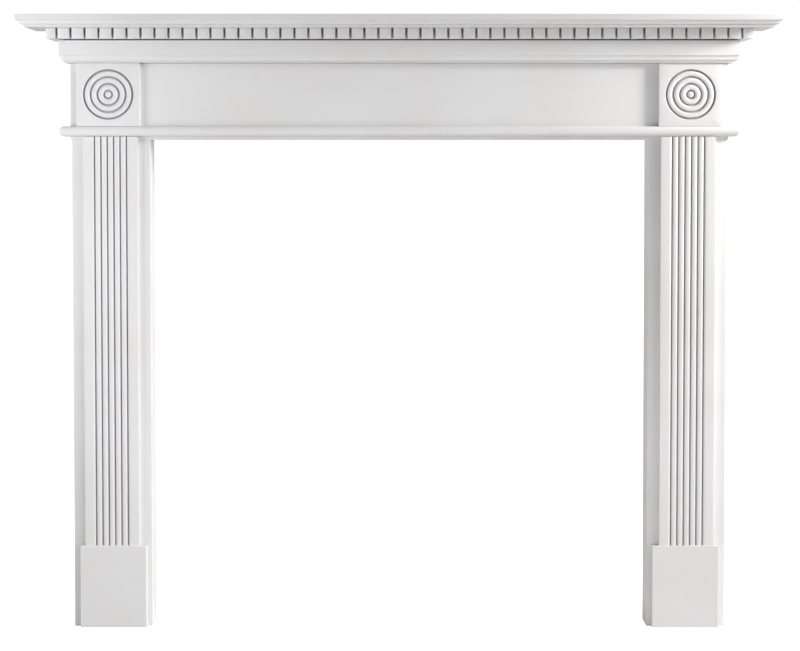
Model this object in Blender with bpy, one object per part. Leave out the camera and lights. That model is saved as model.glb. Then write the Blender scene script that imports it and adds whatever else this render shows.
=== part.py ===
"""Painted timber mantelpiece: moulded shelf, dentil course, bed moulding, frieze with two roundel
blocks, torus moulding and two reeded legs on plinth blocks.

Metres, +Z up. The origin is on the floor, at the middle of the whole width and depth. The front
faces -Y, and the wall plane is the back of every piece that reaches it.
"""

import bmesh
import bpy
import math

# Fireplace opening and legs
OPENING_WIDTH = 0.918
OPENING_HEIGHT = 0.903
JAMB_WIDTH = 0.1444
JAMB_DEPTH = 0.068
BOARD_THICKNESS = 0.018

# Header box over the opening
HEADER_LAP = 0.0025
HEADER_LIP = 0.0061

# Torus moulding, which stands out beyond the corner blocks and the shafts
TORUS_HEIGHT = 0.0186
TORUS_PROJECTION = 0.0165
TORUS_END_LAP = 0.0185

# Corner blocks and their turned roundels
BLOCK_WIDTH = 0.1168
BLOCK_HEIGHT = 0.1165
BLOCK_THICKNESS = 0.011
BLOCK_OUTSET = 0.0038
BOSS_RADIUS = 0.0081
RING_COUNT = 3
RING_PITCH = 0.0122
RING_RISE = 0.0019
RING_GROOVE = 0.0019
RING_GROOVE_DEPTH = 0.0036
ROUNDEL_LIP = 0.0006

# Bed moulding, a plain band with a small moulding along its foot and a shadow gap along its top
BAND_HEIGHT = 0.0422
BAND_PROJECTION = 0.024
BAND_END_LAP = 0.0176
BAND_GAP_HEIGHT = 0.0013
BAND_GAP_DEPTH = 0.008
BAND_FASCIA = 0.0276
BAND_STEP = 0.0006
BAND_COVE = 0.0030
BAND_OVOLO = 0.0034
BAND_QUIRK = 0.0012
BAND_FILLET = 0.0033

# Dentil course
DENTIL_HEIGHT = 0.0196
DENTIL_PROJECTION = 0.0202
DENTIL_PITCH = 0.02547
KERF_WIDTH = 0.0035
KERF_DEPTH = 0.016
END_DENTIL_LEAST = 0.010

# Mantel shelf
SHELF_THICKNESS = 0.0226
SHELF_OVERHANG = 0.0485
SHELF_FASCIA = 0.0107
SHELF_STEP = 0.0008
SHELF_COVE = 0.0057
SHELF_OVOLO = 0.0060
SHELF_QUIRK = 0.0015
SHELF_FILLET = 0.0042

# Reeded pilasters and plinth blocks
SHAFT_WIDTH = 0.1005
SHAFT_THICKNESS = 0.012
REED_COUNT = 5
REED_PITCH = 0.01174
REED_RISE = 0.0018
REED_GROOVE = 0.0020
REED_GROOVE_DEPTH = 0.0036
PLINTH_WIDTH = 0.123
PLINTH_HEIGHT = 0.1524
PLINTH_THICKNESS = 0.016
PLINTH_INSET = 0.0019

# Clearance between touching pieces, and the eased edge of every board
GAP = 0.0003
ARRIS = 0.0010

# Floor of a groove between two beads, as a share of its width at the top
GROOVE_FLOOR = 0.4

# Facets of the curved forms
CURVE_STEPS = 5
NOSE_STEPS = 12
REED_STEPS = 8
ROUNDEL_SEGMENTS = 48
RING_STEPS = 5

# Widths, measured from the middle
JAMB_CENTRE = (OPENING_WIDTH + JAMB_WIDTH) / 2
HEADER_HALF = OPENING_WIDTH / 2 + JAMB_WIDTH + HEADER_LAP
TORUS_HALF = HEADER_HALF + TORUS_END_LAP
BAND_HALF = HEADER_HALF + BAND_END_LAP
DENTIL_HALF = BAND_HALF + DENTIL_PROJECTION
SHELF_HALF = DENTIL_HALF + SHELF_OVERHANG
CORE_HALF = HEADER_HALF - BOARD_THICKNESS

# Depths: the wall plane and the front faces
SHELF_DEPTH = JAMB_DEPTH + BAND_PROJECTION + DENTIL_PROJECTION + SHELF_OVERHANG
WALL = SHELF_DEPTH / 2
JAMB_FRONT = WALL - JAMB_DEPTH
CORE_FRONT = JAMB_FRONT + BOARD_THICKNESS
TORUS_FRONT = JAMB_FRONT - TORUS_PROJECTION
BAND_FRONT = JAMB_FRONT - BAND_PROJECTION
DENTIL_FRONT = BAND_FRONT - DENTIL_PROJECTION
SHELF_FRONT = DENTIL_FRONT - SHELF_OVERHANG

# Heights above the floor
TORUS_BOTTOM = OPENING_HEIGHT + HEADER_LIP
BLOCK_BOTTOM = TORUS_BOTTOM + TORUS_HEIGHT
BAND_BOTTOM = BLOCK_BOTTOM + BLOCK_HEIGHT
DENTIL_BOTTOM = BAND_BOTTOM + BAND_HEIGHT
SHELF_BOTTOM = DENTIL_BOTTOM + DENTIL_HEIGHT
SHELF_TOP = SHELF_BOTTOM + SHELF_THICKNESS


def clear_scene():
    for obj in list(bpy.data.objects):
        bpy.data.objects.remove(obj, do_unlink=True)


def paint(name, colour, roughness):
    """Satin paint for one piece."""
    material = bpy.data.materials.new(name + "_paint")
    material.use_nodes = True
    shader = material.node_tree.nodes["Principled BSDF"]
    shader.inputs["Base Color"].default_value = (*colour, 1.0)
    shader.inputs["Roughness"].default_value = roughness
    shader.inputs["Metallic"].default_value = 0.0
    return material


def add_piece(name, verts, faces, material, smooth_angle=None):
    """One closed mesh, with its faces turned outwards."""
    mesh = bpy.data.meshes.new(name)
    mesh.from_pydata(verts, [], faces)
    work = bmesh.new()
    work.from_mesh(mesh)
    bmesh.ops.recalc_face_normals(work, faces=work.faces)
    work.to_mesh(mesh)
    work.free()
    if smooth_angle is not None:
        mesh.shade_smooth()
        mesh.set_sharp_from_angle(angle=smooth_angle)
    mesh.materials.append(material)
    piece = bpy.data.objects.new(name, mesh)
    bpy.context.collection.objects.link(piece)
    return piece


def ease_edges(piece):
    """The sanded arris of a sawn board."""
    bevel = piece.modifiers.new("arris", "BEVEL")
    bevel.width = ARRIS
    bevel.segments = 2
    bevel.limit_method = "ANGLE"
    bevel.angle_limit = math.radians(40)


def quarter(centre, radius_in, radius_up, start, steps):
    """Quarter of an ellipse in (inset, height), anticlockwise from the angle start."""
    points = []
    for i in range(steps + 1):
        angle = start + math.pi / 2 * i / steps
        inset = centre[0] + radius_in * math.cos(angle)
        height = centre[1] + radius_up * math.sin(angle)
        points.append((inset, height))
    return points


def moulding_section(bottom, top, fascia, step, cove, ovolo, quirk, fillet):
    """Outer face of a moulded edge as (inset, height), from its foot to its top.

    Downwards it is an eased top edge, a plain fascia, a small step, a cove, an ovolo, a quirk and
    a fillet. The cove and the ovolo share the height that is left.
    """
    curve_top = top - fascia
    curve_bottom = bottom + fillet
    middle = (curve_top + curve_bottom) / 2
    half = (curve_top - curve_bottom) / 2
    fillet_inset = step + cove + ovolo + quirk
    points = [(fillet_inset, bottom), (fillet_inset, curve_bottom)]
    ovolo_points = quarter((step + cove + ovolo, middle), ovolo, half, math.pi, CURVE_STEPS)
    points += reversed(ovolo_points)
    cove_points = quarter((step, middle), cove, half, 0.0, CURVE_STEPS)
    points += cove_points[1:]
    points += [(0.0, curve_top), (0.0, top - ARRIS), (ARRIS * 0.3, top - ARRIS * 0.3), (ARRIS, top)]
    return points


def nose_section(bottom, height):
    """Half-round outer face as (inset, height), from its foot to its top."""
    radius = height / 2
    points = []
    for i in range(NOSE_STEPS + 1):
        angle = math.pi * i / NOSE_STEPS
        inset = radius - radius * math.sin(angle)
        points.append((inset, bottom + radius - radius * math.cos(angle)))
    return points


def plan_corners(half, front, inset):
    """Plan path round the front: left end at the wall, two front corners, right end at the wall."""
    side = half - inset
    face = front + inset
    return [(-side, WALL), (-side, face), (side, face), (side, WALL)]


def moulded_board(name, section, half, front, material):
    """A solid board whose front and ends carry the section, mitred at the corners."""
    verts = []
    for inset, height in section:
        verts += [(x, y, height) for x, y in plan_corners(half, front, inset)]
    faces = []
    for level in range(len(section) - 1):
        for corner in range(4):
            a = level * 4 + corner
            b = level * 4 + (corner + 1) % 4
            faces.append((a, b, b + 4, a + 4))
    faces.append((0, 1, 2, 3))
    last = (len(section) - 1) * 4
    faces.append((last, last + 1, last + 2, last + 3))
    return add_piece(name, verts, faces, material, math.radians(30))


def moulded_frame(name, section, half, front, inner_half, inner_front, material):
    """A front rail with two end returns to the wall, mitred, open in the middle."""
    outer = [plan_corners(half, front, inset) for inset, height in section]
    inner = plan_corners(inner_half, inner_front, 0.0)
    heights = [height for inset, height in section]
    verts = []
    for station in range(4):
        for level, height in enumerate(heights):
            verts.append((*outer[level][station], height))
        verts.append((*inner[station], heights[-1]))
        verts.append((*inner[station], heights[0]))
    ring = len(heights) + 2
    faces = []
    for station in range(3):
        for i in range(ring):
            a = station * ring + i
            b = station * ring + (i + 1) % ring
            faces.append((a, b, b + ring, a + ring))
    faces.append(tuple(range(ring)))
    faces.append(tuple(range(3 * ring, 4 * ring)))
    return add_piece(name, verts, faces, material, math.radians(30))


def extruded(name, outline, bottom, top, material, smooth_angle=None):
    """A plan outline drawn up from bottom to top."""
    count = len(outline)
    verts = [(x, y, bottom) for x, y in outline]
    verts += [(x, y, top) for x, y in outline]
    faces = [(i, (i + 1) % count, count + (i + 1) % count, count + i) for i in range(count)]
    faces.append(tuple(range(count)))
    faces.append(tuple(range(count, 2 * count)))
    return add_piece(name, verts, faces, material, smooth_angle)


def box(name, low, high, material):
    outline = [(low[0], low[1]), (high[0], low[1]), (high[0], high[1]), (low[0], high[1])]
    return extruded(name, outline, low[2], high[2], material)


def make_shelf():
    section = moulding_section(
        SHELF_BOTTOM, SHELF_TOP, SHELF_FASCIA, SHELF_STEP,
        SHELF_COVE, SHELF_OVOLO, SHELF_QUIRK, SHELF_FILLET,
    )
    colour = paint("mantel_shelf", (0.80, 0.79, 0.79), 0.42)
    return moulded_board("mantel_shelf", section, SHELF_HALF, SHELF_FRONT, colour)


def front_kerfs():
    """Middles of the saw kerfs along the front, the same on both sides of the middle."""
    reach = DENTIL_HALF - END_DENTIL_LEAST - KERF_WIDTH / 2
    count = int(reach / DENTIL_PITCH + 0.5)
    right = [DENTIL_PITCH * (i + 0.5) for i in range(count)]
    return [-x for x in reversed(right)] + right


def end_kerfs(corner):
    """Middles of the kerfs along an end, as distances back from the front face."""
    depth = WALL - DENTIL_FRONT
    places = []
    place = corner
    while place < depth - END_DENTIL_LEAST - KERF_WIDTH / 2:
        places.append(place)
        place += DENTIL_PITCH
    return places


def make_dentil_course():
    half_kerf = KERF_WIDTH / 2
    kerf_floor = DENTIL_FRONT + KERF_DEPTH
    across = front_kerfs()
    back = [DENTIL_FRONT + place for place in end_kerfs(DENTIL_HALF - across[-1])]
    outline = [(-DENTIL_HALF, WALL)]
    for y in reversed(back):
        outline += [(-DENTIL_HALF, y + half_kerf), (-DENTIL_HALF + KERF_DEPTH, y + half_kerf)]
        outline += [(-DENTIL_HALF + KERF_DEPTH, y - half_kerf), (-DENTIL_HALF, y - half_kerf)]
    outline.append((-DENTIL_HALF, DENTIL_FRONT))
    for x in across:
        outline += [(x - half_kerf, DENTIL_FRONT), (x - half_kerf, kerf_floor)]
        outline += [(x + half_kerf, kerf_floor), (x + half_kerf, DENTIL_FRONT)]
    outline.append((DENTIL_HALF, DENTIL_FRONT))
    for y in back:
        outline += [(DENTIL_HALF, y - half_kerf), (DENTIL_HALF - KERF_DEPTH, y - half_kerf)]
        outline += [(DENTIL_HALF - KERF_DEPTH, y + half_kerf), (DENTIL_HALF, y + half_kerf)]
    outline += [(DENTIL_HALF, WALL), (CORE_HALF, WALL), (CORE_HALF, CORE_FRONT)]
    outline += [(-CORE_HALF, CORE_FRONT), (-CORE_HALF, WALL)]
    colour = paint("dentil_course", (0.79, 0.78, 0.77), 0.45)
    return extruded("dentil_course", outline, DENTIL_BOTTOM + GAP, SHELF_BOTTOM - GAP, colour)


def make_bed_moulding():
    band_top = DENTIL_BOTTOM - BAND_GAP_HEIGHT
    section = moulding_section(
        BAND_BOTTOM, band_top, BAND_FASCIA, BAND_STEP,
        BAND_COVE, BAND_OVOLO, BAND_QUIRK, BAND_FILLET,
    )
    # A narrow rebate under the dentils draws a dark line along the band
    section += [(BAND_GAP_DEPTH, band_top), (BAND_GAP_DEPTH, DENTIL_BOTTOM)]
    colour = paint("bed_moulding", (0.80, 0.79, 0.79), 0.42)
    return moulded_frame(
        "bed_moulding", section, BAND_HALF, BAND_FRONT, CORE_HALF, CORE_FRONT, colour
    )


def make_torus():
    section = nose_section(TORUS_BOTTOM, TORUS_HEIGHT)
    colour = paint("torus_moulding", (0.81, 0.80, 0.80), 0.40)
    return moulded_frame(
        "torus_moulding", section, TORUS_HALF, TORUS_FRONT,
        HEADER_HALF + GAP, JAMB_FRONT - GAP, colour,
    )


def make_frieze():
    """The header box: front board, end returns and underside, open behind and above."""
    top = BAND_BOTTOM - GAP
    colour = paint("frieze_board", (0.81, 0.80, 0.80), 0.42)
    low = (-HEADER_HALF, JAMB_FRONT, OPENING_HEIGHT)
    high = (HEADER_HALF, WALL, top)
    frieze = box("frieze_board", low, high, colour)
    core_low = (-CORE_HALF, CORE_FRONT, OPENING_HEIGHT + BOARD_THICKNESS)
    core_high = (CORE_HALF, WALL + BOARD_THICKNESS, top + BOARD_THICKNESS)
    core = box("header_core", core_low, core_high, colour)
    core.hide_render = True
    core.display_type = "WIRE"
    hollow = frieze.modifiers.new("hollow", "BOOLEAN")
    hollow.operation = "DIFFERENCE"
    hollow.solver = "EXACT"
    hollow.object = core
    ease_edges(frieze)
    return [frieze, core]


def bead_arc(width, rise, steps):
    """(place across, depth below the crown) of a round bead, from one edge to the other."""
    curve = (width**2 / 4 + rise**2) / (2 * rise)
    points = []
    for i in range(steps + 1):
        across = width * (i / steps - 0.5)
        points.append((across, curve - math.sqrt(curve**2 - across**2)))
    return points


def groove_floor(middle, width, depth):
    """The floor of a narrow groove with sloping sides."""
    half = width * GROOVE_FLOOR / 2
    return [(middle - half, depth), (middle + half, depth)]


def roundel_profile():
    """(radius, depth below the face) from the middle out: a boss, then grooves and round rings."""
    half_groove = RING_GROOVE / 2
    boss = bead_arc(2 * (BOSS_RADIUS - half_groove), RING_RISE, 2 * RING_STEPS)
    ring = bead_arc(RING_PITCH - RING_GROOVE, RING_RISE, RING_STEPS)
    points = boss[RING_STEPS + 1:]
    for i in range(RING_COUNT):
        groove = BOSS_RADIUS + RING_PITCH * i
        middle = groove + RING_PITCH / 2
        points += groove_floor(groove, RING_GROOVE, RING_GROOVE_DEPTH)
        points += [(middle + across, depth) for across, depth in ring]
    rim = BOSS_RADIUS + RING_PITCH * RING_COUNT
    points += groove_floor(rim, RING_GROOVE, RING_GROOVE_DEPTH)
    points += [(rim + half_groove, ROUNDEL_LIP), (rim + half_groove + ROUNDEL_LIP, 0.0)]
    return points


def block_outline(direction, margin):
    """Where a ray from the block's middle meets its outline, margin inside the edge."""
    half_wide = BLOCK_WIDTH / 2 - margin
    half_high = (BLOCK_HEIGHT - 2 * GAP) / 2 - margin
    # The ray's angle is taken on the square, so that a corner falls on an eighth of a turn
    x, z = math.cos(direction), math.sin(direction)
    reach = max(abs(x), abs(z))
    return x / reach * half_wide, z / reach * half_high


def make_block(name, side):
    """A square block with a turned roundel of concentric rings on its face."""
    turn = [2 * math.pi * i / ROUNDEL_SEGMENTS for i in range(ROUNDEL_SEGMENTS)]
    verts = [(0.0, 0.0, 0.0)]
    for radius, depth in roundel_profile():
        verts += [(radius * math.cos(a), depth, radius * math.sin(a)) for a in turn]
    for margin, depth in ((ARRIS, 0.0), (ARRIS * 0.3, ARRIS * 0.3), (0.0, ARRIS)):
        outline = [block_outline(a, margin) for a in turn]
        verts += [(x, depth, z) for x, z in outline]
    back = BLOCK_THICKNESS - GAP
    verts += [(x, back, z) for x, z in (block_outline(a, 0.0) for a in turn)]
    count = ROUNDEL_SEGMENTS
    rings = (len(verts) - 1) // count
    faces = [(0, 1 + i, 1 + (i + 1) % count) for i in range(count)]
    for ring in range(rings - 1):
        first = 1 + ring * count
        for i in range(count):
            j = (i + 1) % count
            faces.append((first + i, first + j, first + count + j, first + count + i))
    last = 1 + (rings - 1) * count
    faces.append(tuple(range(last, last + count)))
    colour = paint(name, (0.80, 0.79, 0.79), 0.42)
    block = add_piece(name, verts, faces, colour, math.radians(40))
    centre = JAMB_CENTRE + BLOCK_OUTSET
    middle_height = BLOCK_BOTTOM + BLOCK_HEIGHT / 2
    block.location = (side * centre, JAMB_FRONT - BLOCK_THICKNESS, middle_height)
    return block


def make_jamb(name, side):
    """The leg's backing: a front board with an inner and an outer return, open behind."""
    half = JAMB_WIDTH / 2
    inside = half - BOARD_THICKNESS
    outline = [(-half, JAMB_DEPTH), (-half, 0.0), (half, 0.0), (half, JAMB_DEPTH)]
    outline += [(inside, JAMB_DEPTH), (inside, BOARD_THICKNESS)]
    outline += [(-inside, BOARD_THICKNESS), (-inside, JAMB_DEPTH)]
    colour = paint(name, (0.80, 0.79, 0.79), 0.45)
    jamb = extruded(name, outline, 0.0, OPENING_HEIGHT - GAP, colour)
    jamb.location = (side * JAMB_CENTRE, JAMB_FRONT, 0.0)
    ease_edges(jamb)
    return jamb


def reeded_front():
    """(x, depth below the face) from left to right: shoulder, grooves and reeds, shoulder."""
    reed = bead_arc(REED_PITCH - REED_GROOVE, REED_RISE, REED_STEPS)
    points = []
    for i in range(-1, REED_COUNT + 1):
        middle = REED_PITCH * (i - (REED_COUNT - 1) / 2)
        if i >= 0:
            points += groove_floor(middle - REED_PITCH / 2, REED_GROOVE, REED_GROOVE_DEPTH)
        for across, depth in reed:
            # A shoulder is the half of a reed that faces the others
            outside = (i < 0 and across < 0) or (i == REED_COUNT and across > 0)
            if not outside:
                points.append((middle + across, depth))
    return points


def make_pilaster(name, side):
    """The applied shaft: convex reeds between flat margins, from the plinth to the torus."""
    half = SHAFT_WIDTH / 2
    back = SHAFT_THICKNESS - GAP
    outline = [(half, ARRIS), (half, back), (-half, back), (-half, ARRIS)]
    outline += [(-half + ARRIS * 0.3, ARRIS * 0.3), (-half + ARRIS, 0.0)]
    outline += reeded_front()
    outline += [(half - ARRIS, 0.0), (half - ARRIS * 0.3, ARRIS * 0.3)]
    colour = paint(name, (0.80, 0.79, 0.79), 0.40)
    bottom = PLINTH_HEIGHT + GAP
    shaft = extruded(name, outline, bottom, TORUS_BOTTOM - GAP, colour, math.radians(40))
    shaft.location = (side * JAMB_CENTRE, JAMB_FRONT - SHAFT_THICKNESS, 0.0)
    return shaft


def make_plinth(name, side):
    half = PLINTH_WIDTH / 2
    colour = paint(name, (0.81, 0.80, 0.80), 0.42)
    low = (-half, 0.0, 0.0)
    high = (half, PLINTH_THICKNESS - GAP, PLINTH_HEIGHT)
    plinth = box(name, low, high, colour)
    centre = JAMB_CENTRE - PLINTH_INSET
    plinth.location = (side * centre, JAMB_FRONT - PLINTH_THICKNESS, 0.0)
    ease_edges(plinth)
    return plinth


def main():
    clear_scene()
    pieces = [make_shelf(), make_dentil_course(), make_bed_moulding(), make_torus()]
    pieces += make_frieze()
    for side, hand in ((-1, "left"), (1, "right")):
        pieces.append(make_block("corner_block_" + hand, side))
        pieces.append(make_jamb("jamb_" + hand, side))
        pieces.append(make_pilaster("pilaster_" + hand, side))
        pieces.append(make_plinth("plinth_" + hand, side))
    mantelpiece = bpy.data.objects.new("mantelpiece", None)
    bpy.context.collection.objects.link(mantelpiece)
    for piece in pieces:
        piece.parent = mantelpiece
    bpy.context.view_layer.update()


main()
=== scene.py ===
import math

import bmesh
import bpy
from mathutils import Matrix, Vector


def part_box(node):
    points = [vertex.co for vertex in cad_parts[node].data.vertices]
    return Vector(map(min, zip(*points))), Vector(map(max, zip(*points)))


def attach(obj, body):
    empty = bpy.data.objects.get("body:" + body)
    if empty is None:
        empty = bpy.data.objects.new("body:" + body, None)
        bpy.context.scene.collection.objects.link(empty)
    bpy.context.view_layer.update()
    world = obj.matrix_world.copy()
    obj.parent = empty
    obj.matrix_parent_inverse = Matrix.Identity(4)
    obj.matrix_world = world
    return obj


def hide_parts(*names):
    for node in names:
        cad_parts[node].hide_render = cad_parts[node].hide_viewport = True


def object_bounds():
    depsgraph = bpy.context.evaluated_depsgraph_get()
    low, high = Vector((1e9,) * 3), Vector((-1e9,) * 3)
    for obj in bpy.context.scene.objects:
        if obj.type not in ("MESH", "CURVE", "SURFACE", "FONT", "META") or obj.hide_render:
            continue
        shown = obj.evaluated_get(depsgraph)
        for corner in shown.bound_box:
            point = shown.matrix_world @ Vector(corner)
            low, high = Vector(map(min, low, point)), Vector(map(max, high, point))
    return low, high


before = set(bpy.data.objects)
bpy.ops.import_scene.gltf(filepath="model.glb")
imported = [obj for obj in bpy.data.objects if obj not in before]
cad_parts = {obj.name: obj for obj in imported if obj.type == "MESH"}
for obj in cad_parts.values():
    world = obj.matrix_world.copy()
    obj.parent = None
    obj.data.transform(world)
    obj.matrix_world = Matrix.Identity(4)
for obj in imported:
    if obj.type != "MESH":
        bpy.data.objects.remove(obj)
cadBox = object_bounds()
print("frame loaded:", len(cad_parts), "nodes")


# paint

# satin white paint, sprayed and lightly brushed; lengths in metres
paintLook = {
    "light": (0.835, 0.835, 0.840),
    "shade": (0.800, 0.795, 0.790),
    "cloudSize": 0.22,  # slow drift between light and shade
    "cloudRange": (0.35, 0.65),
    "stippleSize": 0.0011,  # spray stipple
    "stippleHeight": 0.000018,
    "strokeWidth": 0.0022,  # brush strokes along the grain
    "strokeLength": 0.16,
    "strokeHeight": 0.000022,
    "strokeRange": (0.3, 0.7),
    "roughness": 0.40,
    "roughnessSpread": 0.10,
    "primer": (0.700, 0.682, 0.650),
    "primerStreak": 0.86,  # tone of the dark streaks, as a share of the primer's
    "primerRoughness": 0.70,
    "primerGrainHeight": 0.00012,
    "backFacing": 0.6,  # a face whose normal leans further back than this is only primed
    "creviceReach": 0.005,  # painted shade darkens grooves narrower than this
    "creviceShadeTone": (0.31, 0.31, 0.335),
    "creviceRange": (0.20, 0.80),  # how open a groove is, from full painted shade to none
    "creviceSamples": 12,
}
markLook = {
    "colour": (0.45, 0.43, 0.41),
    "raggedSize": 0.006,
    "raggedRange": (0.35, 0.65),
    "faintest": 0.2,
}


def feed(tree, socket, value):
    # value is another node's socket, or a fixed number or colour
    if isinstance(value, bpy.types.NodeSocket):
        tree.links.new(value, socket)
    else:
        socket.default_value = value


def addNode(tree, kind, **inputs):
    node = tree.nodes.new(kind)
    for key, value in inputs.items():
        feed(tree, node.inputs[key.replace("_", " ")], value)
    return node


def mathNode(tree, operation, a, b):
    node = tree.nodes.new("ShaderNodeMath")
    node.operation = operation
    feed(tree, node.inputs[0], a)
    feed(tree, node.inputs[1], b)
    return node.outputs[0]


def rangeNode(tree, value, source, target=(0.0, 1.0)):
    node = addNode(
        tree,
        "ShaderNodeMapRange",
        Value=value,
        From_Min=source[0],
        From_Max=source[1],
        To_Min=target[0],
        To_Max=target[1],
    )
    return node.outputs["Result"]


def colourMix(tree, factor, a, b, blend="MIX"):
    node = tree.nodes.new("ShaderNodeMix")
    node.data_type = "RGBA"
    node.blend_type = blend
    for key, value in (("Factor", factor), ("A", a), ("B", b)):
        feed(tree, node.inputs[key], (*value, 1.0) if isinstance(value, tuple) else value)
    return node.outputs["Result"]


def noiseNode(tree, place, size, detail=2.0, stretch=(1, 1, 1)):
    # size is the width of one blob; stretch makes the blob longer along an axis
    mapping = addNode(tree, "ShaderNodeMapping", Vector=place, Scale=[1 / s for s in stretch])
    spot = mapping.outputs["Vector"]
    noise = addNode(tree, "ShaderNodeTexNoise", Vector=spot, Scale=1 / size, Detail=detail)
    return noise.outputs["Fac"]


def smudgeMask(tree, place, smudges):
    # faint handling marks: (x, y, z, radius, depth of tone)
    look = markLook
    ragged = noiseNode(tree, place, look["raggedSize"], 3.0)
    ragged = rangeNode(tree, ragged, look["raggedRange"], (look["faintest"], 1.0))
    total = None
    for x, y, z, radius, tone in smudges:
        apart = tree.nodes.new("ShaderNodeVectorMath")
        apart.operation = "DISTANCE"
        feed(tree, apart.inputs[0], place)
        feed(tree, apart.inputs[1], (x, y, z))
        spot = rangeNode(tree, apart.outputs["Value"], (0.0, radius), (tone, 0.0))
        spot = mathNode(tree, "MULTIPLY", spot, ragged)
        total = spot if total is None else mathNode(tree, "ADD", total, spot)
    return total


# where hands have rubbed the frieze and the torus
friezeMarks = (
    (-0.263, 0.0124, 1.0195, 0.007, 0.28),
    (-0.400, 0.0124, 0.9586, 0.006, 0.22),
    (-0.363, 0.0124, 0.9586, 0.006, 0.22),
    (-0.093, 0.0124, 1.0010, 0.005, 0.20),
)
torusMarks = (
    (0.058, -0.0035, 0.9130, 0.006, 0.22),
    (0.088, -0.0035, 0.9145, 0.006, 0.22),
)


def paintedCreviceShade(tree, colour, paintedShadeTone, alone):
    # painted shade: grooves and inside corners are darker than the open faces, standing in for the
    # shade that falls in them
    look = paintLook
    nook = addNode(tree, "ShaderNodeAmbientOcclusion", Distance=look["creviceReach"])
    nook.samples = look["creviceSamples"]
    nook.only_local = alone
    shadeShare = rangeNode(tree, nook.outputs["AO"], look["creviceRange"], (1.0, 0.0))
    return colourMix(tree, shadeShare, colour, paintedShadeTone, "MULTIPLY")


def satinPaint(name, grain, tone=1.0, smudges=(), paintedShadeTone=paintLook["creviceShadeTone"], alone=True):
    # grain is the axis that the brush followed, "x" or "z"
    # alone: the painted shade heeds this piece's own grooves, not the pieces beside it
    look = paintLook
    paint = bpy.data.materials.new(name)
    paint.use_nodes = True
    tree = paint.node_tree
    shader = tree.nodes["Principled BSDF"]
    place = tree.nodes.new("ShaderNodeTexCoord").outputs["Object"]
    ratio = look["strokeLength"] / look["strokeWidth"]
    stretch = (ratio, 1, 1) if grain == "x" else (1, 1, ratio)

    clouds = noiseNode(tree, place, look["cloudSize"], 3.0)
    strokes = noiseNode(tree, place, look["strokeWidth"], 2.0, stretch)
    stipple = noiseNode(tree, place, look["stippleSize"], 1.0)

    light = tuple(c * tone for c in look["light"])
    shade = tuple(c * tone for c in look["shade"])
    white = colourMix(tree, rangeNode(tree, clouds, look["cloudRange"]), light, shade)
    if smudges:
        white = colourMix(tree, smudgeMask(tree, place, smudges), white, markLook["colour"])

    # the faces towards the wall are only primed
    geometry = tree.nodes.new("ShaderNodeNewGeometry")
    split = addNode(tree, "ShaderNodeSeparateXYZ", Vector=geometry.outputs["Normal"])
    behind = mathNode(tree, "GREATER_THAN", split.outputs["Y"], look["backFacing"])
    streak = tuple(c * look["primerStreak"] for c in look["primer"])
    primer = colourMix(tree, rangeNode(tree, strokes, look["strokeRange"]), look["primer"], streak)
    colour = colourMix(tree, behind, white, primer)
    # painted shade darkens the grooves and inside corners
    feed(tree, shader.inputs["Base Color"], paintedCreviceShade(tree, colour, paintedShadeTone, alone))

    spread = look["roughnessSpread"] / 2
    limits = (look["roughness"] - spread, look["roughness"] + spread)
    sheen = rangeNode(tree, strokes, look["strokeRange"], limits)
    primed = mathNode(tree, "MULTIPLY", behind, look["primerRoughness"])
    feed(tree, shader.inputs["Roughness"], mathNode(tree, "MAXIMUM", sheen, primed))

    stippleHeight = mathNode(tree, "MULTIPLY", stipple, look["stippleHeight"])
    strokeHeight = mathNode(tree, "MULTIPLY", strokes, look["strokeHeight"])
    extra = mathNode(tree, "MULTIPLY", strokes, look["primerGrainHeight"] - look["strokeHeight"])
    height = mathNode(tree, "ADD", stippleHeight, strokeHeight)
    height = mathNode(tree, "ADD", height, mathNode(tree, "MULTIPLY", extra, behind))
    bump = addNode(tree, "ShaderNodeBump", Strength=1.0, Distance=1.0, Height=height)
    feed(tree, shader.inputs["Normal"], bump.outputs["Normal"])
    return paint


# mesh helpers

cornerLook = {
    "straight": 160,  # degrees; a flatter corner stays as it is
    "edgeShare": 0.45,  # most of an edge that one corner's curve may take
}
beadLook = {
    "crown": 4,  # power of the curve across: the higher, the flatter the crown
    "crowding": 0.6,  # below 1 brings the points nearer to the shoulders
}
meshLook = {
    "weld": 0.00001,
    "smooth": 35,  # degrees; sharper edges show as edges
    "smoothCurved": 50,
}


def softened(points, ease, steps=4, closed=False):
    # the paint's small radius on every corner of a profile
    out = []
    count = len(points)
    for i, point in enumerate(points):
        here = Vector(point)
        if not closed and i in (0, count - 1):
            out.append(tuple(here))
            continue
        before = Vector(points[i - 1]) - here
        after = Vector(points[(i + 1) % count]) - here
        if before.angle(after) > math.radians(cornerLook["straight"]):
            out.append(tuple(here))
            continue
        start = here + before.normalized() * min(ease, before.length * cornerLook["edgeShare"])
        end = here + after.normalized() * min(ease, after.length * cornerLook["edgeShare"])
        for k in range(steps + 1):
            t = k / steps
            curved = start * (1 - t) ** 2 + here * 2 * t * (1 - t) + end * t**2
            out.append(tuple(curved))
    return out


def quarterTurn(centre, across, up, start, steps=14):
    # quarter of an ellipse in (inset, height)
    points = []
    for i in range(steps + 1):
        angle = start + math.pi / 2 * i / steps
        inset = centre[0] + across * math.cos(angle)
        points.append((inset, centre[1] + up * math.sin(angle)))
    return points


def beadArc(width, rise, steps):
    # (place across, depth below the crown) of a bead with a flat crown and rounded shoulders
    spread = [i / steps * 2 - 1 for i in range(steps + 1)]
    spread = [math.copysign(abs(t) ** beadLook["crowding"], t) for t in spread]
    return [(width / 2 * t, rise * abs(t) ** beadLook["crown"]) for t in spread]


def grooveFloor(middle, look):
    half = look["groove"] * look["grooveFloor"] / 2
    return [(middle - half, look["grooveDepth"]), (middle + half, look["grooveDepth"])]


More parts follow.
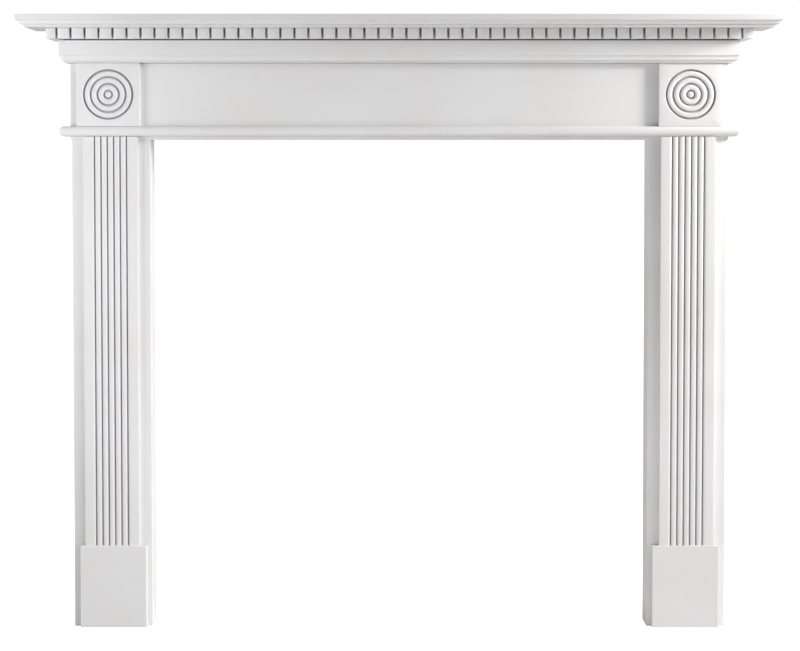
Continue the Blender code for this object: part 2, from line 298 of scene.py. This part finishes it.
def mouldedEdge(bottom, top, look):
    # from the foot up: fillet, quirk, ovolo, cove, small step, fascia, eased top
    curveTop = top - look["fascia"]
    curveFoot = bottom + look["fillet"]
    middle = (curveTop + curveFoot) / 2
    half = (curveTop - curveFoot) / 2
    throat = look["step"] + look["cove"] + look["ovolo"]
    points = [(throat + look["quirk"], bottom), (throat + look["quirk"], curveFoot)]
    points += reversed(quarterTurn((throat, middle), look["ovolo"], half, math.pi))
    points += quarterTurn((look["step"], middle), look["cove"], half, 0.0)[1:]
    points += [(0.0, curveTop), (0.0, top), (look["topFlat"], top)]
    return softened(points, look["arris"])


def planCorners(half, front, inset, wall):
    side = half - inset
    face = front + inset
    return [(-side, wall), (-side, face), (side, face), (side, wall)]


def drawUp(outline, bottom, top):
    # verts and faces of a plan outline drawn up from bottom to top
    count = len(outline)
    verts = [(x, y, bottom) for x, y in outline] + [(x, y, top) for x, y in outline]
    faces = [(i, (i + 1) % count, count + (i + 1) % count, count + i) for i in range(count)]
    faces += [tuple(range(count)), tuple(range(count, 2 * count))]
    return verts, faces


def shadeMesh(mesh, smooth):
    mesh.shade_smooth()
    mesh.set_sharp_from_angle(angle=math.radians(smooth))


def makePiece(name, verts, faces, node, paint, smooth=meshLook["smooth"]):
    mesh = bpy.data.meshes.new(name)
    mesh.from_pydata(verts, [], faces)
    work = bmesh.new()
    work.from_mesh(mesh)
    bmesh.ops.remove_doubles(work, verts=work.verts, dist=meshLook["weld"])
    bmesh.ops.recalc_face_normals(work, faces=work.faces)
    work.to_mesh(mesh)
    work.free()
    shadeMesh(mesh, smooth)
    mesh.materials.append(paint)
    piece = bpy.data.objects.new(name, mesh)
    bpy.context.scene.collection.objects.link(piece)
    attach(piece, "root")
    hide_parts(node)
    return piece


# the boards' own sizes, which the mouldings round them need too
boardLook = {
    "thickness": 0.018,
    "gap": 0.0003,  # glue line between two boards
    "arris": 0.0010,
}


# mantel shelf

shelfLook = {
    "fascia": 0.0107,
    "step": 0.0008,
    "cove": 0.0057,
    "ovolo": 0.0060,
    "quirk": 0.0015,
    "fillet": 0.0042,
    "topFlat": 0.0040,
    "arris": 0.0008,
}


def makeShelf(paint):
    low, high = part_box("mantel_shelf")
    section = mouldedEdge(low.z, high.z, shelfLook)
    verts = []
    for inset, height in section:
        for x, y in planCorners(high.x, low.y, inset, high.y):
            verts.append((x, y, height))
    faces = [(0, 1, 2, 3)]
    for level in range(len(section) - 1):
        for corner in range(4):
            a = level * 4 + corner
            b = level * 4 + (corner + 1) % 4
            faces.append((a, b, b + 4, a + 4))
    last = len(verts) - 4
    faces.append((last, last + 1, last + 2, last + 3))
    makePiece("shelfBoard", verts, faces, "mantel_shelf", paint)


# mitred rails with returns: bed moulding and torus

bandLook = {
    "gapHeight": 0.0018,  # shadow gap under the dentils
    "gapDepth": 0.008,
    "fascia": 0.0276,
    "step": 0.0003,
    "cove": 0.0033,
    "ovolo": 0.0034,
    "quirk": 0.0012,
    "fillet": 0.0033,
    "topFlat": 0.0040,
    "arris": 0.0006,
    # painted shade under the dentils and in the corners beside the other pieces
    "paintedShadeTone": (0.16, 0.15, 0.145),
}
torusLook = {"noseSteps": 40}


def mitredRail(name, node, section, innerHalf, innerFront, paint):
    low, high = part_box(node)
    outer = [planCorners(high.x, low.y, inset, high.y) for inset, height in section]
    inner = planCorners(innerHalf, innerFront, 0.0, high.y)
    heights = [height for inset, height in section]
    ring = len(heights) + 2
    verts = []
    for station in range(4):
        for level, height in enumerate(heights):
            verts.append((*outer[level][station], height))
        verts.append((*inner[station], heights[-1]))
        verts.append((*inner[station], heights[0]))
    faces = []
    for station in range(3):
        for i in range(ring):
            a = station * ring + i
            b = station * ring + (i + 1) % ring
            faces.append((a, b, b + ring, a + ring))
    faces += [tuple(range(ring)), tuple(range(3 * ring, 4 * ring))]
    makePiece(name, verts, faces, node, paint)


def makeBand(paint):
    low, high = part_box("bed_moulding")
    friezeLow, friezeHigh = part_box("frieze_board")
    gapFoot = high.z - bandLook["gapHeight"]
    section = mouldedEdge(low.z, gapFoot, bandLook)
    section += [(bandLook["gapDepth"], gapFoot), (bandLook["gapDepth"], high.z)]
    innerHalf = friezeHigh.x - boardLook["thickness"]
    innerFront = friezeLow.y + boardLook["thickness"]
    mitredRail("bedMould", "bed_moulding", section, innerHalf, innerFront, paint)


def makeTorus(paint):
    low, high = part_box("torus_moulding")
    friezeLow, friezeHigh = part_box("frieze_board")
    radius = (high.z - low.z) / 2
    section = []
    for i in range(torusLook["noseSteps"] + 1):
        angle = math.pi * i / torusLook["noseSteps"]
        height = low.z + radius - radius * math.cos(angle)
        section.append((radius - radius * math.sin(angle), height))
    innerHalf = friezeHigh.x + boardLook["gap"]
    innerFront = friezeLow.y - boardLook["gap"]
    mitredRail("torusMould", "torus_moulding", section, innerHalf, innerFront, paint)


# dentil course

dentilLook = {
    "pitch": 0.02547,
    "kerf": 0.0042,
    "kerfDepth": 0.016,
    "leastEnd": 0.010,
    "arris": 0.0004,
    "arrisSegments": 2,
    "arrisAngle": 40,  # degrees; flatter edges aren't eased
    # the dentil faces are painted a little darker as painted shade from the shelf over them
    "underShelfShade": 0.97,
    # painted shade in the kerfs, nearly black
    "paintedShadeTone": (0.10, 0.09, 0.085),
}


def kerfPlaces(low, high):
    pitch = dentilLook["pitch"]
    margin = dentilLook["leastEnd"] + dentilLook["kerf"] / 2
    count = int((high.x - margin) / pitch + 0.5)
    right = [pitch * (i + 0.5) for i in range(count)]
    across = [-x for x in reversed(right)] + right
    back = []
    place = high.x - right[-1]
    while place < high.y - low.y - margin:
        back.append(low.y + place)
        place += pitch
    return across, back


def easeEdges(piece, look):
    bevel = piece.modifiers.new("ease", "BEVEL")
    bevel.width = look["arris"]
    bevel.segments = look["arrisSegments"]
    bevel.limit_method = "ANGLE"
    bevel.angle_limit = math.radians(look["arrisAngle"])
    depsgraph = bpy.context.evaluated_depsgraph_get()
    sawn = piece.data
    eased = bpy.data.meshes.new_from_object(piece.evaluated_get(depsgraph))
    piece.modifiers.clear()
    piece.data = eased
    bpy.data.meshes.remove(sawn)
    shadeMesh(eased, meshLook["smooth"])


def makeDentils(paint):
    low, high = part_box("dentil_course")
    friezeLow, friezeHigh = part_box("frieze_board")
    across, back = kerfPlaces(low, high)
    half = dentilLook["kerf"] / 2
    deep = dentilLook["kerfDepth"]
    side = high.x
    front = low.y
    outline = [(-side, high.y)]
    for y in reversed(back):
        outline += [(-side, y + half), (deep - side, y + half)]
        outline += [(deep - side, y - half), (-side, y - half)]
    outline.append((-side, front))
    for x in across:
        outline += [(x - half, front), (x - half, front + deep)]
        outline += [(x + half, front + deep), (x + half, front)]
    outline.append((side, front))
    for y in back:
        outline += [(side, y - half), (side - deep, y - half)]
        outline += [(side - deep, y + half), (side, y + half)]
    coreSide = friezeHigh.x - boardLook["thickness"]
    coreFront = friezeLow.y + boardLook["thickness"]
    outline += [(side, high.y), (coreSide, high.y), (coreSide, coreFront)]
    outline += [(-coreSide, coreFront), (-coreSide, high.y)]
    verts, faces = drawUp(outline, low.z, high.z)
    piece = makePiece("dentilStrip", verts, faces, "dentil_course", paint)
    easeEdges(piece, dentilLook)


# corner blocks with turned roundels

roundelLook = {
    "boss": 0.0072,
    "rings": 3,
    "pitch": 0.0125,
    "rise": 0.0026,
    "groove": 0.0032,
    "grooveDepth": 0.0052,
    "grooveFloor": 0.4,  # share of the groove's width at the top
    "lip": 0.0006,
    "rimFlat": 4,  # how far the flat past the rim is kept round, in half grooves
    "segments": 192,
    "ringSteps": 14,
    "cusp": 0.00035,
    "arris": 0.0010,
    "arrisSteps": 4,
    "footLap": 0.0005,  # the foot sits on the torus with a tight joint
    "footArris": 0.4,  # the foot's arris, as a share of the others
    # painted shade in the roundel's grooves
    "paintedShadeTone": (0.38, 0.38, 0.41),
}


def roundelProfile():
    look = roundelLook
    steps = look["ringSteps"]
    edge = look["groove"] / 2
    boss = beadArc(2 * (look["boss"] - edge), look["rise"], 2 * steps)
    ring = beadArc(look["pitch"] - look["groove"], look["rise"], steps)
    points = boss[steps + 1:]
    for i in range(look["rings"]):
        groove = look["boss"] + look["pitch"] * i
        middle = groove + look["pitch"] / 2
        points += grooveFloor(groove, look)
        points += [(middle + across, depth) for across, depth in ring]
    rim = look["boss"] + look["pitch"] * look["rings"]
    points += grooveFloor(rim, look)
    points += [(rim + edge, look["lip"]), (rim + edge + look["lip"], 0.0)]
    points.append((rim + edge * look["rimFlat"], 0.0))
    return softened(points, look["cusp"])


def makeBlock(name, node, paint):
    look = roundelLook
    low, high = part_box(node)
    middle = (low + high) / 2
    count = look["segments"]
    turn = [2 * math.pi * i / count for i in range(count)]
    halfWide = (high.x - low.x) / 2
    halfHigh = (high.z - low.z) / 2

    def square(margin, depth):
        # the block's outline, with a point for each of the roundel's
        ring = []
        for angle in turn:
            x, z = math.cos(angle), math.sin(angle)
            reach = max(abs(x), abs(z))
            tall = halfHigh - margin
            if z <= 0:
                tall = halfHigh + look["footLap"] - margin * look["footArris"]
            ring.append((x / reach * (halfWide - margin), depth, z / reach * tall))
        return ring

    rings = []
    for radius, depth in roundelProfile():
        rings.append([(radius * math.cos(a), depth, radius * math.sin(a)) for a in turn])
    for k in range(look["arrisSteps"] + 1):
        angle = math.pi / 2 * k / look["arrisSteps"]
        margin = look["arris"] * (1 - math.sin(angle))
        depth = look["arris"] * (1 - math.cos(angle))
        rings.append(square(margin, depth))
    rings.append(square(0.0, high.y - low.y))
    verts = [(0.0, 0.0, 0.0)] + [v for ring in rings for v in ring]
    verts = [(middle.x + x, low.y + y, middle.z + z) for x, y, z in verts]
    faces = [(0, 1 + i, 1 + (i + 1) % count) for i in range(count)]
    for ring in range(len(rings) - 1):
        first = 1 + ring * count
        for i in range(count):
            j = (i + 1) % count
            faces.append((first + i, first + j, first + count + j, first + count + i))
    last = len(verts) - count
    faces.append(tuple(range(last, last + count)))
    makePiece(name, verts, faces, node, paint, meshLook["smoothCurved"])


# reeded shafts

shaftLook = {
    "reeds": 5,
    "pitch": 0.01174,
    "rise": 0.0018,
    "groove": 0.0025,
    "grooveDepth": 0.0042,
    "grooveFloor": 0.4,
    "reedSteps": 16,
    "cusp": 0.00035,
}


def makeShaft(name, node, paint):
    look = shaftLook
    low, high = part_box(node)
    middle = (low + high) / 2
    reed = beadArc(look["pitch"] - look["groove"], look["rise"], look["reedSteps"])
    front = []
    for i in range(-1, look["reeds"] + 1):
        centre = look["pitch"] * (i - (look["reeds"] - 1) / 2)
        if i >= 0:
            front += grooveFloor(centre - look["pitch"] / 2, look)
        for across, depth in reed:
            # a shoulder is the half of a reed that faces the others
            outside = (i < 0 and across < 0) or (i == look["reeds"] and across > 0)
            if not outside:
                front.append((centre + across, depth))
    outline = [(high.x, high.y), (low.x, high.y), (low.x, low.y)]
    outline += [(middle.x + across, low.y + depth) for across, depth in front]
    outline.append((high.x, low.y))
    outline = softened(outline, look["cusp"], closed=True)
    verts, faces = drawUp(outline, low.z - boardLook["gap"], high.z)
    makePiece(name, verts, faces, node, paint, meshLook["smoothCurved"])


def makeJamb(name, node, paint):
    # runs up to the header without a gap
    low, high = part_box(node)
    board = boardLook["thickness"]
    outline = [(low.x, high.y), (low.x, low.y), (high.x, low.y), (high.x, high.y)]
    outline += [(high.x - board, high.y), (high.x - board, low.y + board)]
    outline += [(low.x + board, low.y + board), (low.x + board, high.y)]
    outline = softened(outline, boardLook["arris"], steps=3, closed=True)
    verts, faces = drawUp(outline, low.z, high.z + boardLook["gap"])
    makePiece(name, verts, faces, node, paint)


def paintBoard(node, paint):
    # the frieze and the plinth blocks keep their own solids and take the paint
    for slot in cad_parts[node].material_slots:
        slot.material = paint


# floor, light and camera

lightLook = {
    "seen": 1.1,  # the white ground behind the object
    "tint": (0.97, 0.96, 0.985),
    # soft light of the room, by where it comes from
    "leftBack": 0.90,
    "right": 3.95,
    "rightBack": 2.05,
    "behind": 0.53,
    "key": {
        "at": (1.45, -0.35, 1.30),
        "aim": (0.20, 0.0, 0.80),
        "size": 0.22,
        "power": 14.6,
        "colour": (1.0, 1.0, 0.96),
    },
    "fill": {
        "at": (-1.25, -0.60, 0.85),
        "aim": (-0.30, 0.0, 0.70),
        "size": 0.6,
        "power": 6.5,
        "colour": (0.99, 1.0, 1.0),
    },
    "low": {
        "at": (0.15, -0.72, 0.08),
        "aim": (0.15, 0.0, 0.30),
        "size": 1.0,
        "power": 3.0,
        "colour": (1.0, 0.95, 0.92),
    },
}
floorLook = {
    "half": 30.0,
    "albedo": 0.68,
    "roughness": 0.9,
    "glow": (1.0, 0.98, 0.96),
    "seen": 1.0,  # glow for the camera alone, so that the floor reads as white
}
cameraLook = {
    "distance": 4.0,  # from the shelf's front edge
    "across": 0.0011,
    "height": 0.87,
    "tilt": 2.473,  # degrees down
    "focalPixels": 2218.3,
    "imageWidth": 800.0,
    "sensor": 36.0,
    "shiftUp": -0.09,
}


def makeWorld():
    look = lightLook
    world = bpy.data.worlds.new("studio")
    world.use_nodes = True
    tree = world.node_tree
    background = tree.nodes["Background"]
    background.inputs["Color"].default_value = (*look["tint"], 1.0)
    coords = tree.nodes.new("ShaderNodeTexCoord")
    split = addNode(tree, "ShaderNodeSeparateXYZ", Vector=coords.outputs["Generated"])
    x, y = split.outputs["X"], split.outputs["Y"]
    # the sides by the square of x, the back by the square of y
    ahead = mathNode(tree, "LESS_THAN", y, 0.0)
    left = rangeNode(tree, ahead, (0.0, 1.0), (look["leftBack"], 0.0))
    right = rangeNode(tree, ahead, (0.0, 1.0), (look["rightBack"], look["right"]))
    side = rangeNode(tree, mathNode(tree, "GREATER_THAN", x, 0.0), (0.0, 1.0), (left, right))
    side = mathNode(tree, "MULTIPLY", mathNode(tree, "MULTIPLY", x, x), side)
    back = rangeNode(tree, ahead, (0.0, 1.0), (look["behind"], 0.0))
    back = mathNode(tree, "MULTIPLY", mathNode(tree, "MULTIPLY", y, y), back)
    given = mathNode(tree, "ADD", side, back)
    path = tree.nodes.new("ShaderNodeLightPath")
    seen = mathNode(tree, "MULTIPLY", path.outputs["Is Camera Ray"], look["seen"])
    feed(tree, background.inputs["Strength"], mathNode(tree, "MAXIMUM", given, seen))
    bpy.context.scene.world = world
    bpy.context.scene.view_settings.view_transform = "Standard"


def makeFloor():
    look = floorLook
    half = look["half"]
    corners = [(-half, -half, 0), (half, -half, 0), (half, half, 0), (-half, half, 0)]
    mesh = bpy.data.meshes.new("floor")
    mesh.from_pydata(corners, [], [(0, 1, 2, 3)])
    paint = bpy.data.materials.new("paleFloor")
    paint.use_nodes = True
    tree = paint.node_tree
    shader = tree.nodes["Principled BSDF"]
    shader.inputs["Base Color"].default_value = (*[look["albedo"]] * 3, 1.0)
    shader.inputs["Roughness"].default_value = look["roughness"]
    shader.inputs["Emission Color"].default_value = (*look["glow"], 1.0)
    path = tree.nodes.new("ShaderNodeLightPath")
    seen = mathNode(tree, "MULTIPLY", path.outputs["Is Camera Ray"], look["seen"])
    feed(tree, shader.inputs["Emission Strength"], seen)
    mesh.materials.append(paint)
    floor = bpy.data.objects.new("floor", mesh)
    bpy.context.scene.collection.objects.link(floor)


def makeLight(name):
    look = lightLook[name]
    lamp = bpy.data.lights.new(name, "AREA")
    lamp.shape = "SQUARE"
    lamp.size = look["size"]
    lamp.energy = look["power"]
    lamp.color = look["colour"]
    holder = bpy.data.objects.new(name, lamp)
    holder.location = look["at"]
    aim = Vector(look["aim"]) - Vector(look["at"])
    holder.rotation_euler = aim.to_track_quat("-Z", "Y").to_euler()
    holder.visible_camera = False
    bpy.context.scene.collection.objects.link(holder)


def makeCamera():
    look = cameraLook
    data = bpy.data.cameras.new("camera")
    data.sensor_width = look["sensor"]
    data.lens = look["focalPixels"] * look["sensor"] / look["imageWidth"]
    data.shift_y = look["shiftUp"]
    camera = bpy.data.objects.new("camera", data)
    camera.location = (look["across"], cadBox[0].y - look["distance"], look["height"])
    camera.rotation_euler = (math.radians(90 - look["tilt"]), 0.0, 0.0)
    bpy.context.scene.collection.objects.link(camera)
    bpy.context.scene.camera = camera


# make everything

makeShelf(satinPaint("shelfPaint", "x"))
# the band's painted shade also darkens the corners against the pieces beside it
makeBand(satinPaint("bandPaint", "x", paintedShadeTone=bandLook["paintedShadeTone"], alone=False))
makeTorus(satinPaint("torusPaint", "x", smudges=torusMarks))
# dentil paint: a little darker as painted shade under the shelf, with painted shade in the kerfs
dentilPaint = satinPaint(
    "dentilPaint", "x", tone=dentilLook["underShelfShade"], paintedShadeTone=dentilLook["paintedShadeTone"]
)
makeDentils(dentilPaint)
print("cornice made")

blockPaint = satinPaint("blockPaint", "x", paintedShadeTone=roundelLook["paintedShadeTone"])
shaftPaint = satinPaint("shaftPaint", "z")
jambPaint = satinPaint("jambPaint", "z")
plinthPaint = satinPaint("plinthPaint", "z")
for hand in ("left", "right"):
    makeBlock("roundelBlock_" + hand, "corner_block_" + hand, blockPaint)
    makeShaft("reededShaft_" + hand, "pilaster_" + hand, shaftPaint)
    makeJamb("jambBoard_" + hand, "jamb_" + hand, jambPaint)
    paintBoard("plinth_" + hand, plinthPaint)
paintBoard("frieze_board", satinPaint("friezePaint", "x", smudges=friezeMarks))
print("legs and frieze made")

makeWorld()
makeFloor()
for name in ("key", "fill", "low"):
    makeLight(name)
makeCamera()
print("studio made")
